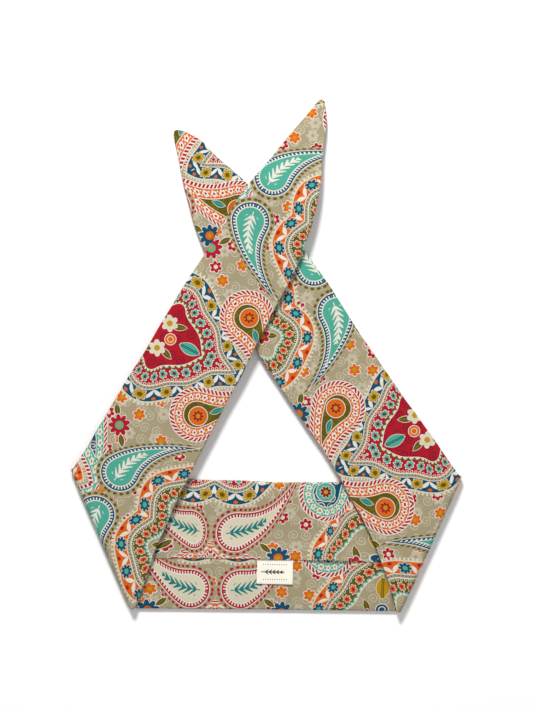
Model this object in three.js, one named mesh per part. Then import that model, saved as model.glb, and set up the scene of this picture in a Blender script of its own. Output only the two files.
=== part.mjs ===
// A double-pointed fabric neck tie: one printed cotton band, sewn into a flat tube with its seam
// along the back, stiffened by an interlining strip and by a loop of covered wire near both edges.
// It is folded flat: the neck section lies face down with its seam side up, each end of it folds
// over a slanting corner into a tail with its face up, and the two tails cross and end in points.
// Millimetres, +X right, +Y towards the points, +Z up. The tie lies on the plane z = 0.
import * as THREE from "three";
import { mergeVertices } from "three/addons/utils/BufferGeometryUtils.js";

// Cloth and band.
const CLOTH = 0.4; // printed cotton with its fusible backing
const BAND = 3.6; // thickness of the flat tube, between its outer faces
const PLY_GAP = 0.3; // air between plies that lie on each other
const LIFT = CLOTH + PLY_GAP; // how far the upper flap rises to lie over the lower flap
const RIDGE = BAND + LIFT; // thickness of the band where the flaps overlap
const SEAM_AT = -0.21; // place of the seam across the band: -1 is the inner edge, 1 the outer edge
const LAP = 8; // how far the lower flap runs on under the upper flap
const RAMP = 3; // width over which the upper flap rises

// Inner pieces.
const WIRE_RADIUS = 0.65;
const WIRE_INSET = 2.6; // from the band's edge to the wire's centre
const SLEEVE = { innerRadius: 0.95, outerRadius: 1.25, length: 30 };
const INTERLINING = { thickness: 0.6, halfWidth: 0.6, height: 1.0, steps: 6 }; // halfWidth: share of the band's
const TIP_INTERLINING_END = 0.7; // share of a tip's length that its interlining reaches
const SPLICE_AT = 0.5; // share of the neck section's length where the wire's two ends meet
const END_GAP = 0.002; // share of the neck section's length between each wire end and that place
const HAIRPIN_END = { left_tip: 0.86, right_tip: 0.84 }; // share of a tip's length that the wire reaches
const HAIRPIN_TURN = 0.03; // share of a tip's length that the turn adds

// Seam threads: a narrow zigzag on the lower flap, just outside the upper flap's hem.
const THREAD_RADIUS = 0.2;
const STITCH = 5;
const ZIGZAG = [0.7, 1.3]; // distances of its turns from the hem
const TURNING_GAP = { from: 0.45, to: 0.6 }; // shares of the neck section's length with no machine stitch
const SEAM_ENDS = { neck: [0.04, 0.96], tail: [0.03, 0.95], tip: [0.1, 0.85] };

// Label, folded double and caught in the seam.
const LABEL = { left: -6.5, width: 25, drop: 17.5, cloth: 0.2, low: 4.0, high: 4.6, start: 0.8 };
const LABEL_HINGE = { behind: 0.5, height: 4.5 };

// Plan outlines. Outer edges run on from the neck section's far edge, inner edges from its near edge.
const NECK_OUTER = [[-133, -82.5], [-47, -87.2], [47, -89.6], [133, -86.5]];
const NECK_INNER = [[-92.3, -177.2], [0, -178], [91, -179.2]];
const LEFT_FOLD = { near: [-92.3, -177.2], far: [-134.5, -79] };
const RIGHT_FOLD = { near: [91, -179.2], far: [134, -84] };
const LEFT_BEND = { outer: [-12.1, 119.1], inner: [35.4, 105] };
const RIGHT_BEND = { outer: [-17.3, 123.3], inner: [-46, 78.5] };
const LEFT_TAIL_OUTER = [LEFT_FOLD.far, [-43.3, 70.3], LEFT_BEND.outer];
const LEFT_TAIL_INNER = [LEFT_FOLD.near, [-74.5, -129.5], [-8, 4.9], [25.6, 73.5], LEFT_BEND.inner];
const RIGHT_TAIL_OUTER = [RIGHT_FOLD.far, [73.9, 2.1], [25.6, 73.5], RIGHT_BEND.outer];
const RIGHT_TAIL_INNER = [RIGHT_FOLD.near, [79.5, -142.8], [52.2, -87.5], [-6.2, 2.1], [-43.3, 70.3],
  RIGHT_BEND.inner];
const LEFT_TIP_OUTER = [LEFT_BEND.outer, [11.9, 147.7], [36, 177.2]];
const LEFT_TIP_INNER = [LEFT_BEND.inner, [39.6, 143.5], [41.6, 165], [40.9, 175.5]];
const RIGHT_TIP_OUTER = [RIGHT_BEND.outer, [-32.6, 136.5], [-53.6, 154.7], [-61, 157]];
const RIGHT_TIP_INNER = [RIGHT_BEND.inner, [-57.5, 115.5], [-61.6, 136.5], [-65, 152.8]];

// Heights. Each tail is a flat plate that leans a little about its own fold line.
const BELLY = BAND / 2 + LIFT; // from a tail's middle plane down to its lowest ply
const LEFT_TAIL_RISE = { atFold: RIDGE + PLY_GAP + BELLY, slope: 0.0236 };
const RIGHT_TAIL_RISE = { atFold: RIDGE + 0.65 + BELLY, slope: -0.01 }; // 0.65 of air, less further on
const TIP_HEIGHT = BELLY + 0.05; // middle plane at a point that all but touches the table
const FOLD_GAP = 1; // from a fold's axis to the plies on each side of it
const BEND_GAP = 3.2; // from a tip's bend axis to the plies on each side of it

const vec = ([x, y]) => new THREE.Vector2(x, y);
const edge = (points) => new THREE.SplineCurve(points.map(vec));

// Distance of a plan point from a fold line, measured towards the tail.
function fromLine({ near, far }, towards) {
  const along = vec(far).sub(vec(near)).normalize();
  const across = new THREE.Vector2(-along.y, along.x);
  if (across.dot(vec(towards).sub(vec(near))) < 0) across.negate();
  return (p) => across.dot(p.clone().sub(vec(near)));
}

// The height of the plane through three points, as a function of the plan point.
function planeThrough(a, b, c) {
  const plane = new THREE.Plane().setFromCoplanarPoints(a, b, c);
  return (p) => -(plane.constant + plane.normal.x * p.x + plane.normal.y * p.y) / plane.normal.z;
}

const leftDistance = fromLine(LEFT_FOLD, [0, 0]);
const rightDistance = fromLine(RIGHT_FOLD, [0, 0]);
const leftTailMiddle = (p) => LEFT_TAIL_RISE.atFold + LEFT_TAIL_RISE.slope * leftDistance(p);
const rightTailMiddle = (p) => RIGHT_TAIL_RISE.atFold + RIGHT_TAIL_RISE.slope * rightDistance(p);

// A tip's plane runs from its bend line on the tail's plane down to the table at its point.
function tipMiddle(bend, tailMiddle, outerEdge, innerEdge) {
  const onTail = (p) => new THREE.Vector3(p[0], p[1], tailMiddle(vec(p)));
  const point = vec(outerEdge.at(-1)).add(vec(innerEdge.at(-1))).multiplyScalar(0.5);
  const atPoint = new THREE.Vector3(point.x, point.y, TIP_HEIGHT);
  return planeThrough(onTail(bend.outer), onTail(bend.inner), atPoint);
}

// A plate is one flat stretch of the band: its two edges, its middle plane, and which side is up.
function plate(outer, inner, middle, faceUp, startGap, endGap) {
  const [outerEdge, innerEdge] = [edge(outer), edge(inner)];
  const at = (u) => {
    const [a, b] = [outerEdge.getPoint(u), innerEdge.getPoint(u)];
    const centre = a.clone().add(b).multiplyScalar(0.5);
    const half = a.distanceTo(b) / 2;
    return { centre, half, across: a.sub(b).normalize() };
  };
  const length = at(0).centre.distanceTo(at(1).centre);
  // Turns a place in the cross-section, y across and z up from the face, into a point of the part.
  const place = (station, y, z) => {
    const p = station.centre.clone().addScaledVector(station.across, y);
    const height = faceUp ? BAND / 2 - z : z - BAND / 2;
    return new THREE.Vector3(p.x, p.y, middle(p) + height);
  };
  return { at, place, from: startGap / length, to: 1 - endGap / length };
}

const flatOnTable = () => BAND / 2;
const PLATES = {
  neck: plate(NECK_OUTER, NECK_INNER, flatOnTable, false, FOLD_GAP, FOLD_GAP),
  left_tail: plate(LEFT_TAIL_OUTER, LEFT_TAIL_INNER, leftTailMiddle, true, FOLD_GAP, BEND_GAP),
  right_tail: plate(RIGHT_TAIL_OUTER, RIGHT_TAIL_INNER, rightTailMiddle, true, FOLD_GAP, BEND_GAP),
  left_tip: plate(LEFT_TIP_OUTER, LEFT_TIP_INNER,
    tipMiddle(LEFT_BEND, leftTailMiddle, LEFT_TIP_OUTER, LEFT_TIP_INNER), true, BEND_GAP, 0),
  right_tip: plate(RIGHT_TIP_OUTER, RIGHT_TIP_INNER,
    tipMiddle(RIGHT_BEND, rightTailMiddle, RIGHT_TIP_OUTER, RIGHT_TIP_INNER), true, BEND_GAP, 0),
};

const fabric = new THREE.MeshStandardMaterial({ color: 0xb9ab8d, roughness: 0.85, metalness: 0 });
const felt = new THREE.MeshStandardMaterial({ color: 0xe9e5da, roughness: 0.95, metalness: 0 });
const coatedWire = new THREE.MeshStandardMaterial({ color: 0xd8d8d4, roughness: 0.45, metalness: 0.1 });
const tape = new THREE.MeshStandardMaterial({ color: 0x2c2c2c, roughness: 0.5, metalness: 0 });
const cotton = new THREE.MeshStandardMaterial({ color: 0xcdbf9f, roughness: 0.9, metalness: 0 });
const labelCloth = new THREE.MeshStandardMaterial({ color: 0xf3f1ec, roughness: 0.8, metalness: 0 });

const tie = new THREE.Group();

// Adds a closed solid, with its shared vertices merged and its faces pointing out.
function add(name, geometry, material) {
  for (const attribute of ["normal", "uv"]) geometry.deleteAttribute(attribute);
  const merged = mergeVertices(geometry, 1e-4);
  if (signedVolume(merged) < 0) merged.index.array.reverse();
  const mesh = new THREE.Mesh(merged, material);
  mesh.name = name;
  tie.add(mesh);
}

function signedVolume(geometry) {
  const { index, attributes: { position } } = geometry;
  const corner = (i) => new THREE.Vector3().fromBufferAttribute(position, index.array[i]);
  let volume = 0;
  for (let i = 0; i < index.count; i += 3) volume += corner(i).dot(corner(i + 1).cross(corner(i + 2))) / 6;
  return volume;
}

// The cross-section of the shell as a line through the middle of its cloth: from the lower flap's
// hidden edge, round the inner edge, across the face, round the outer edge, to the upper flap's hem.
function shellLine(half) {
  const radius = (BAND - CLOTH) / 2;
  const flapHeight = BAND - CLOTH / 2;
  const seam = SEAM_AT * half;
  const lap = Math.min(LAP, 0.22 * half);
  const ramp = Math.min(RAMP, 0.12 * half);
  const roundEdge = (side) => [0, 0.25, 0.5, 0.75, 1].map((t) => [
    side * (half - radius + radius * Math.sin(Math.PI * t)),
    BAND / 2 - side * radius * Math.cos(Math.PI * t),
  ]);
  return [
    [seam + lap, flapHeight],
    ...roundEdge(-1),
    [0, CLOTH / 2],
    ...roundEdge(1),
    [seam + lap + ramp, flapHeight],
    [seam + lap, flapHeight + LIFT],
    [seam, flapHeight + LIFT],
  ].map(vec);
}

// The direction across a line at one of its points, seen from its start with the cloth's outside left.
function acrossLine(line, i) {
  const [before, after] = [line[Math.max(i - 1, 0)], line[Math.min(i + 1, line.length - 1)]];
  const along = after.clone().sub(before).normalize();
  return new THREE.Vector2(along.y, -along.x);
}

// A strip of cloth along a plate: its cross-section line swept from one end to the other.
function strip({ at, place, from, to }, lineAt, thickness, steps) {
  const folds = lineAt(at(from).half).length - 1;
  const geometry = new THREE.BoxGeometry(1, 1, 1, steps, folds, 1);
  const position = geometry.attributes.position;
  for (let i = 0; i < position.count; i++) {
    const station = at(THREE.MathUtils.lerp(from, to, position.getX(i) + 0.5));
    const line = lineAt(station.half);
    const j = Math.round((position.getY(i) + 0.5) * folds);
    const p = line[j].clone().addScaledVector(acrossLine(line, j), position.getZ(i) * thickness);
    position.setXYZ(i, ...place(station, p.x, p.y).toArray());
  }
  return geometry;
}

const interliningLine = (half) => [-1, 1].map((side) =>
  new THREE.Vector2(side * INTERLINING.halfWidth * half, INTERLINING.height));

// A round wire or thread through the given points.
function round(points, radius, steps) {
  const section = new THREE.Shape().absarc(0, 0, radius, 0, 2 * Math.PI);
  const extrudePath = new THREE.CatmullRomCurve3(points);
  return new THREE.ExtrudeGeometry(section, { curveSegments: 4, steps, extrudePath });
}

// Points of the wire beside one edge of a plate: side is 1 at the outer edge and -1 at the inner.
function wireRun({ at, place }, side, from, to, count) {
  return Array.from({ length: count }, (_, i) => {
    const station = at(THREE.MathUtils.lerp(from, to, i / (count - 1)));
    return place(station, side * (station.half - WIRE_INSET), BAND / 2);
  });
}

function seamThread({ at, place }, from, to) {
  const length = at(from).centre.distanceTo(at(to).centre);
  const count = Math.round(length / STITCH) + 1;
  const height = BAND + PLY_GAP + THREAD_RADIUS;
  return Array.from({ length: count }, (_, i) => {
    const station = at(THREE.MathUtils.lerp(from, to, i / (count - 1)));
    return place(station, SEAM_AT * station.half - ZIGZAG[i % 2], height);
  });
}

function thread(name, points) {
  const section = new THREE.Shape().absarc(0, 0, THREAD_RADIUS, 0, 2 * Math.PI);
  const extrudePath = new THREE.CurvePath();
  for (let i = 1; i < points.length; i++) extrudePath.add(new THREE.LineCurve3(points[i - 1], points[i]));
  const steps = points.length - 1;
  add(name, new THREE.ExtrudeGeometry(section, { curveSegments: 2, steps, extrudePath }), cotton);
}

// Cloth shells and interlining strips, one of each on every plate.
const SHELL_STEPS = { neck: 6, left_tail: 8, right_tail: 10, left_tip: 6, right_tip: 6 };
for (const [name, band] of Object.entries(PLATES)) {
  add(name + "_shell", strip(band, shellLine, CLOTH, SHELL_STEPS[name]), fabric);
  const inset = name.endsWith("tip") ? { ...band, to: TIP_INTERLINING_END } : band;
  add(name + "_interlining", strip(inset, interliningLine, INTERLINING.thickness, INTERLINING.steps), felt);
}

// The wire loop. On the tails it runs beside both edges, and it turns back inside each point.
for (const name of ["left_tail", "right_tail"]) {
  const band = PLATES[name];
  add(name + "_wire_outer", round(wireRun(band, 1, band.from, band.to, 6), WIRE_RADIUS, 12), coatedWire);
  add(name + "_wire_inner", round(wireRun(band, -1, band.from, band.to, 6), WIRE_RADIUS, 12), coatedWire);
}
for (const [name, end] of Object.entries(HAIRPIN_END)) {
  const band = PLATES[name];
  const [turn] = wireRun(band, 0, end + HAIRPIN_TURN, band.from, 2);
  const points = [
    ...wireRun(band, 1, band.from, end, 5),
    turn,
    ...wireRun(band, -1, end, band.from, 5),
  ];
  add(name + "_wire_hairpin", round(points, WIRE_RADIUS, 24), coatedWire);
}

// On the neck section the far run is whole, and the loop's two ends meet in a sleeve on the near run.
const neck = PLATES.neck;
const leftRun = wireRun(neck, -1, neck.from, SPLICE_AT - END_GAP, 4);
const rightRun = wireRun(neck, -1, SPLICE_AT + END_GAP, neck.to, 4);
add("neck_wire_outer", round(wireRun(neck, 1, neck.from, neck.to, 6), WIRE_RADIUS, 12), coatedWire);
add("neck_wire_left_end", round(leftRun, WIRE_RADIUS, 6), coatedWire);
add("neck_wire_right_end", round(rightRun, WIRE_RADIUS, 6), coatedWire);

function spliceSleeve() {
  const { innerRadius, outerRadius, length } = SLEEVE;
  const profile = [
    [innerRadius, -length / 2], [outerRadius, -length / 2],
    [outerRadius, length / 2], [innerRadius, length / 2], [innerRadius, -length / 2],
  ].map(vec);
  const [start, end] = wireRun(neck, -1, SPLICE_AT - END_GAP, SPLICE_AT + END_GAP, 2);
  const along = end.clone().sub(start).normalize();
  const centre = start.lerp(end, 0.5);
  return new THREE.LatheGeometry(profile, 12)
    .applyQuaternion(new THREE.Quaternion().setFromUnitVectors(new THREE.Vector3(0, 1, 0), along))
    .translate(...centre.toArray());
}
add("wire_splice_sleeve", spliceSleeve(), tape);

// On the neck section the machine seam stops at the label and starts again past the turning gap.
thread("neck_seam_thread", seamThread(neck, SEAM_ENDS.neck[0], TURNING_GAP.from));
thread("neck_closing_thread", seamThread(neck, TURNING_GAP.to, SEAM_ENDS.neck[1]));
for (const name of ["left_tail", "right_tail", "left_tip", "right_tip"]) {
  thread(name + "_seam_thread", seamThread(PLATES[name], ...SEAM_ENDS[name.split("_")[1]]));
}

// The label hangs from the seam over the lower flap, and its fold is its free end.
const seamY = neck.place(neck.at(SPLICE_AT), SEAM_AT * neck.at(SPLICE_AT).half, 0).y;
function label() {
  const { left, width, drop, cloth, low, high, start } = LABEL;
  const radius = (high - low) / 2;
  const fold = [0.25, 0.5, 0.75].map((t) => [
    drop - radius + radius * Math.sin(Math.PI * t),
    (low + high) / 2 - radius * Math.cos(Math.PI * t),
  ]);
  const line = [[start, low], [drop - radius, low], ...fold, [drop - radius, high], [start, high]].map(vec);
  const geometry = new THREE.BoxGeometry(width, 1, 1, 1, line.length - 1, 1);
  const position = geometry.attributes.position;
  for (let i = 0; i < position.count; i++) {
    const j = Math.round((position.getY(i) + 0.5) * (line.length - 1));
    const p = line[j].clone().addScaledVector(acrossLine(line, j), position.getZ(i) * cloth);
    position.setXYZ(i, left + width / 2 + position.getX(i), seamY - LABEL_HINGE.behind - p.x, p.y);
  }
  return geometry;
}
add("folded_label", label(), labelCloth);

// The part's origin is the middle of its footprint, on the table.
const box = new THREE.Box3().setFromObject(tie);
tie.position.set(-(box.min.x + box.max.x) / 2, -(box.min.y + box.max.y) / 2, -box.min.z);

export default tie;
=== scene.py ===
"""Looks of a flat cotton tie band with two pointed ends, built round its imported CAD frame.

The band is one long tube of printed cloth. It is worked out as a grid of stations along the band and
places round its cross-section, and the grid is cut into pieces where the band bends at a joint.
"""

import math

import bpy
import numpy as np
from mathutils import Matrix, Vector


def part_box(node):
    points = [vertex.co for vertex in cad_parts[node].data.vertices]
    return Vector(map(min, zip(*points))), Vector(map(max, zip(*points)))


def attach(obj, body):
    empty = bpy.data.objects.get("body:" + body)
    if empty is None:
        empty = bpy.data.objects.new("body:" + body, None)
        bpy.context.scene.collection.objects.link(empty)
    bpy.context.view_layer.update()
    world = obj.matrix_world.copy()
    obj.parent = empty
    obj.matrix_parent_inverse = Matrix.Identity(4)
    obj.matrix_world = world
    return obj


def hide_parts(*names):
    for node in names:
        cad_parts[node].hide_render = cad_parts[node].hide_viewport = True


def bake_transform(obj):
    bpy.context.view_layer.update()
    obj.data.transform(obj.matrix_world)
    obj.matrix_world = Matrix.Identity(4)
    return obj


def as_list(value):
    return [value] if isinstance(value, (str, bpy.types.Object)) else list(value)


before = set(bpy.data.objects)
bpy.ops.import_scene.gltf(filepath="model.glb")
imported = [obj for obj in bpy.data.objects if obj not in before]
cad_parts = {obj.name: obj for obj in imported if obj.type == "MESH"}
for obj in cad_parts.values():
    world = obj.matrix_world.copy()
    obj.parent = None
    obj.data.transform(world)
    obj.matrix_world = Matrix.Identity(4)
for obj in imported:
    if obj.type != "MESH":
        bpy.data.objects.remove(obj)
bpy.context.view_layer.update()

MM = 0.001

# ---------------------------------------------------------------- driving dimensions, millimetres
CLOTH = 0.3  # printed cotton
BAND = 3.6  # thickness of the flat tube
PLY_GAP = 0.3  # between the neck section and the left tail, at the fold
RIGHT_PLY_GAP = 0.65  # the same at the right fold
LIFT = 0.7  # height of the upper flap's hem over the lower flap, in the CAD
RIDGE = BAND + LIFT
BELLY = BAND / 2 + LIFT
SEAM_AT = -0.21  # place of the seam across the band: -1 is the inner edge, 1 the outer edge
LAP = 8.0  # width of the overlap at the seam
RAMP = 9.0  # width over which the upper flap rises to the overlap
EDGE_PINCH = 0.5  # how much lower each face is beside the band's edges
PINCH_WIDTH = 6.0  # width over which a face sinks beside an edge
HEM = 5.0  # cloth turned under at the hem
HEM_LIFT = 0.67  # the hem's upper ply over the lower flap
HEM_RADIUS = 0.16  # of the turn at the hem's edge
FOLD_BULGE = 0.67  # how round a corner fold is: 1 is a half circle, 0 a knife edge
FOLD_PIECE = 12.0  # reach of a corner piece from its fold line
BEND_PIECE = 14.0  # reach of a tip piece onto its tail
BEND_REACH = 12.0  # half the length of band that a tip bends over
WRAP_LENGTH = 11.5  # length of the face round a corner fold
WIRE_INSET = 2.6  # from the band's edge to the wire's centre
WIRE_RADIUS = 0.65
WIRE_STEP = WIRE_INSET - ((BAND - CLOTH) / 2 - EDGE_PINCH)  # from the centre of the edge's curve to the wire
SPLICE_STATION = 45  # the neck station inside the splice sleeve
SPLICE_GAP = 0.15  # share of a station's length between each wire end and that place
HAIRPIN_END = 5  # stations between a point and the wire's turn
LINING_SHARE = 0.6  # share of the band's width that the interlining covers
LINING_FROM, LINING_TO = 0.4, 1.0  # heights of the interlining's faces over the inside of the printed face
LINING_PLACES = 9
LINING_END = 11  # stations between a point and the end of its interlining
LABEL_LEFT, LABEL_WIDTH, LABEL_DROP = -6.5, 25.0, 17.5  # its left end in the plan, and its size

# Plan of the folded band, as in the CAD: the outer edge runs on from the neck section's far edge.
NECK_OUTER = [(-134.5, -79), (-126, -82.8), (-47, -87.2), (47, -89.6), (126, -87.4), (134, -84)]
NECK_INNER = [(-92.3, -177.2), (0, -178), (91, -179.2)]
# near and far are the ends of a fold line. rise is the height of a tail's middle plane there, and slope
# its rise per millimetre away from the fold. A crease is a place, a direction in degrees, a reach and a
# depth.
LIMBS = {
    "left": {
        "near": (-92.3, -177.2),
        "far": (-134.5, -79),
        "outer_tail": [(-134.5, -79), (-43.3, 70.3), (-12.1, 119.1)],
        "inner_tail": [(-92.3, -177.2), (-74.5, -129.5), (-8, 4.9), (25.6, 73.5), (35.4, 105)],
        "outer_tip": [(-12.1, 119.1), (11.9, 147.7), (36, 177.2)],
        "inner_tip": [(35.4, 105), (39.6, 143.5), (41.6, 165), (40.9, 175.5)],
        "rise": RIDGE + PLY_GAP + BELLY,
        "slope": 0.0236,
        "creases": [(18, 118, 20, 12, 0.35), (-96, -70, 65, 14, 0.3)],
    },
    "right": {
        "near": (91, -179.2),
        "far": (134, -84),
        "outer_tail": [(134, -84), (73.9, 2.1), (25.6, 73.5), (-17.3, 123.3)],
        "inner_tail": [(91, -179.2), (79.5, -142.8), (52.2, -87.5), (-6.2, 2.1), (-46, 78.5)],
        "outer_tip": [(-17.3, 123.3), (-32.6, 136.5), (-53.6, 154.7), (-61, 157)],
        "inner_tip": [(-46, 78.5), (-57.5, 115.5), (-61.6, 136.5), (-65, 152.8)],
        "rise": RIDGE + RIGHT_PLY_GAP + BELLY,
        "slope": -0.01,
        "creases": [(-37, 131, 62, 5.5, 0.9), (-34.5, 128, 62, 4.5, -0.5), (98, -70, 115, 14, 0.3)],
    },
}
TIP_HEIGHT = BELLY + 0.05  # of the middle plane at each point's end, which lies on the floor
LEFT_CORNER, RIGHT_CORNER = math.radians(16), math.radians(15)  # turn of the flat cloth at each fold
ARC_START, ARC_LENGTH = 76.0, 90.0  # the arc that takes up that turn: where it starts along x, its length
NECK_MIDDLE = -133.0  # y of the neck section's centre line

# Stations along the band and places round its section.
NECK_STATIONS = 91
TAIL_STATIONS = 104
TIP_STATIONS = 34
STATION_STEP = 2.6  # about, along the tails
WRAP_STATIONS = 17
CLOSING_STATIONS = 7  # that close the tube beyond each point
CLOSING_LENGTH = 2.2
LOWER_PLACES, EDGE_PLACES, FACE_PLACES = 24, 10, 40
UPPER_PLACES, RAMP_PLACES, LAP_PLACES, TURN_PLACES, UNDER_PLACES = 30, 6, 7, 6, 4
HEM_PLACE = LOWER_PLACES + 2 * EDGE_PLACES + FACE_PLACES + UPPER_PLACES + RAMP_PLACES + LAP_PLACES

# Hand stitches that hold the hem down.
STITCH_PITCH = 4.4
STITCH_RADIUS = 0.11
STITCH_REACH = 0.7  # how far a stitch reaches beyond the hem's edge


# ---------------------------------------------------------------- curves in the plan
def smooth(points, per_span=40):
    """Points close together on a smooth curve through the given ones."""
    p = np.array(points, float)
    t = np.concatenate([[0], np.cumsum(np.linalg.norm(np.diff(p, axis=0), axis=1))])
    chord = np.diff(p, axis=0) / np.diff(t)[:, None]
    weight = np.diff(t)
    slope = np.empty_like(p)
    slope[0], slope[-1] = chord[0], chord[-1]
    for i in range(1, len(p) - 1):
        slope[i] = (chord[i - 1] * weight[i] + chord[i] * weight[i - 1]) / (weight[i - 1] + weight[i])
    out = []
    for i in range(len(p) - 1):
        s = np.linspace(0, 1, per_span, endpoint=False)[:, None]
        h = weight[i]
        out.append(
            (1 + 2 * s) * (1 - s) ** 2 * p[i]
            + s * (1 - s) ** 2 * h * slope[i]
            + s * s * (3 - 2 * s) * p[i + 1]
            + s * s * (s - 1) * h * slope[i + 1]
        )
    return np.vstack([*out, p[-1:]])


def along(curve, shares):
    """Points and unit tangents at shares of a curve's length."""
    step = np.linalg.norm(np.diff(curve, axis=0), axis=1)
    length = np.concatenate([[0], np.cumsum(step)])
    at = np.asarray(shares) * length[-1]
    points = np.stack([np.interp(at, length, curve[:, k]) for k in range(2)], axis=1)
    tangent = np.gradient(points, axis=0)
    return points, tangent / np.linalg.norm(tangent, axis=1)[:, None]


def unit(v):
    """v at length 1, for vectors in the last axis."""
    v = np.asarray(v, float)
    return v / np.linalg.norm(v, axis=-1, keepdims=True)


def turned(v):
    """v turned a quarter to the left, for vectors in the last axis."""
    return np.stack([-v[..., 1], v[..., 0]], axis=-1)


def ease(t):
    t = np.clip(t, 0, 1)
    return t * t * (3 - 2 * t)


def plan_shift():
    """The plan's offset from the part's origin: across from the label, along from the wire's sleeve."""
    label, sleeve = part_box("folded_label"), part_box("wire_splice_sleeve")
    outer, _ = along(smooth(NECK_OUTER[2:4]), [0.0, 0.5, 1.0])
    inner, _ = along(smooth(NECK_INNER), [0.0, 0.5, 1.0])
    wire = inner[1] + unit(outer[1] - inner[1]) * WIRE_INSET
    return np.array([label[0].x / MM - LABEL_LEFT, (sleeve[0].y + sleeve[1].y) / 2 / MM - wire[1]])


# ---------------------------------------------------------------- the cloth's cross-section
def section(half, slim, hem_gap):
    """The centre line of the cloth round the tube at each station, from the lower flap's hidden edge to
    the end of the hem that is turned under. Gives places across, heights from the face, and which
    stretch each place belongs to."""
    half, slim, hem_gap = (a[:, None] for a in (half, slim, hem_gap))
    radius = ((BAND - CLOTH) / 2 - EDGE_PINCH) * slim
    inset = half - radius
    seam = SEAM_AT * half
    lap = np.minimum(LAP, 0.22 * half)
    ramp = np.minimum(RAMP, 0.2 * half)
    hem = np.minimum(HEM, 0.14 * half)

    def pinch(y):
        return EDGE_PINCH * slim * np.exp(-(((inset - np.abs(y)) / PINCH_WIDTH) ** 2))

    def run(start, end, count, closed=False):
        t = np.linspace(0, 1, count, endpoint=closed)[None, :]
        return start + (end - start) * t

    def flap(y):
        return (BAND - CLOTH / 2) * slim - pinch(y)

    def opened(y):
        """Share of the hem's gap: 0 where the flap starts to rise, 1 at the hem's edge."""
        return ((seam + lap + ramp - y) / np.maximum(lap + ramp, 1e-6)) ** 2

    turn = np.linspace(0, 1, EDGE_PLACES, endpoint=False)[None, :] * math.pi
    middle = BAND / 2 * slim
    parts = []

    def put(kind, y, z):
        parts.append((kind, y, z))

    y = run(seam + lap, -inset, LOWER_PLACES)
    put("lower", y, flap(y))
    put("inner_edge", -inset - radius * np.sin(math.pi - turn), middle - radius * np.cos(math.pi - turn))
    y = run(-inset, inset, FACE_PLACES)
    put("face", y, CLOTH / 2 * slim + pinch(y))
    put("outer_edge", inset + radius * np.sin(turn), middle - radius * np.cos(turn))
    y = run(inset, seam + lap + ramp, UPPER_PLACES)
    put("upper", y, flap(y))
    y = run(seam + lap + ramp, seam + lap, RAMP_PLACES)
    rise = ease((seam + lap + ramp - y) / np.maximum(ramp, 1e-6))
    put("upper", y, flap(y) + HEM_LIFT * slim * rise + hem_gap * opened(y))
    y = run(seam + lap, seam, LAP_PLACES)
    put("upper", y, flap(y) + HEM_LIFT * slim + hem_gap * opened(y))
    level = flap(seam) + HEM_LIFT * slim + hem_gap
    bend = np.linspace(0, 1, TURN_PLACES, endpoint=False)[None, :] * math.pi
    small = HEM_RADIUS * slim
    put("hem", seam - small * np.sin(bend), level - small + small * np.cos(bend))
    y = run(seam, seam + hem, UNDER_PLACES, closed=True)
    put("hem", y, flap(y) + HEM_LIFT * slim + hem_gap * opened(y) - 2 * small)

    kinds = np.concatenate([[kind] * y.shape[1] for kind, y, _ in parts])
    y = np.concatenate([np.broadcast_to(y, (len(half), y.shape[1])) for _, y, _ in parts], axis=1)
    z = np.concatenate([np.broadcast_to(z, (len(half), z.shape[1])) for _, _, z in parts], axis=1)
    return y, z, kinds, radius, inset


def thickened(y, z, slim):
    """The cloth's two sides: the section's centre line moved out and in by half the cloth."""
    dy, dz = np.gradient(y, axis=1), np.gradient(z, axis=1)
    size = np.hypot(dy, dz) + 1e-9
    half = CLOTH / 2 * slim[:, None]
    ny, nz = dz / size, -dy / size
    return (y + ny * half, z + nz * half), (y - ny * half, z - nz * half)


def flat_places(plan, y, kinds, radius, inset, stations):
    """Where each place of the cloth lay when the cloth was flat, in the plane of the plan."""
    across, outer_normal, inner_normal = stations["across"], stations["outer_n"], stations["inner_n"]
    flat = plan.copy()
    for side, normal, edge_kind, flap_kinds in (
        (1, outer_normal, "outer_edge", ("upper", "hem")),
        (-1, inner_normal, "inner_edge", ("lower",)),
    ):
        slant = np.sum(across * side * normal, axis=1)[:, None]
        start = stations["centre"] + across * side * inset
        at_edge = kinds == edge_kind
        index = np.arange(at_edge.sum()) / max(at_edge.sum(), 1) * math.pi
        theta = index if side == 1 else math.pi - index
        flat[:, at_edge] = start[:, None] + normal[:, None] * (radius * theta)[:, :, None]
        on_flap = np.isin(kinds, flap_kinds)
        back = (inset - side * y[:, on_flap]) * slant
        flat[:, on_flap] = plan[:, on_flap] + normal[:, None] * (2 * back + math.pi * radius)[:, :, None]
    hem = np.where(kinds == "hem")[0]
    seam_flat = flat[:, hem[0]][:, None]
    run_on = np.abs(y[:, hem] - y[:, hem[0]][:, None])
    flat[:, hem] = seam_flat + outer_normal[:, None] * run_on[:, :, None]
    return flat


# ---------------------------------------------------------------- stations along the band
def wavy(p, waves):
    """Gentle waves in the cloth: a sum of a few slanting sines of the plan place."""
    total = np.zeros(p.shape[:-1])
    for angle, length, phase, height in waves:
        a = math.radians(angle)
        run = p[..., 0] * math.cos(a) + p[..., 1] * math.sin(a)
        total += height * np.sin(2 * math.pi * run / length + phase)
    return total


EDGE_WAVES = [(20, 61, 0.4, 0.22), (75, 38, 1.9, 0.16), (130, 27, 2.6, 0.1)]
FACE_WAVES = [(15, 74, 0.3, 0.2), (62, 47, 1.2, 0.16), (118, 33, 2.2, 0.12), (160, 23, 0.9, 0.07)]


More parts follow.
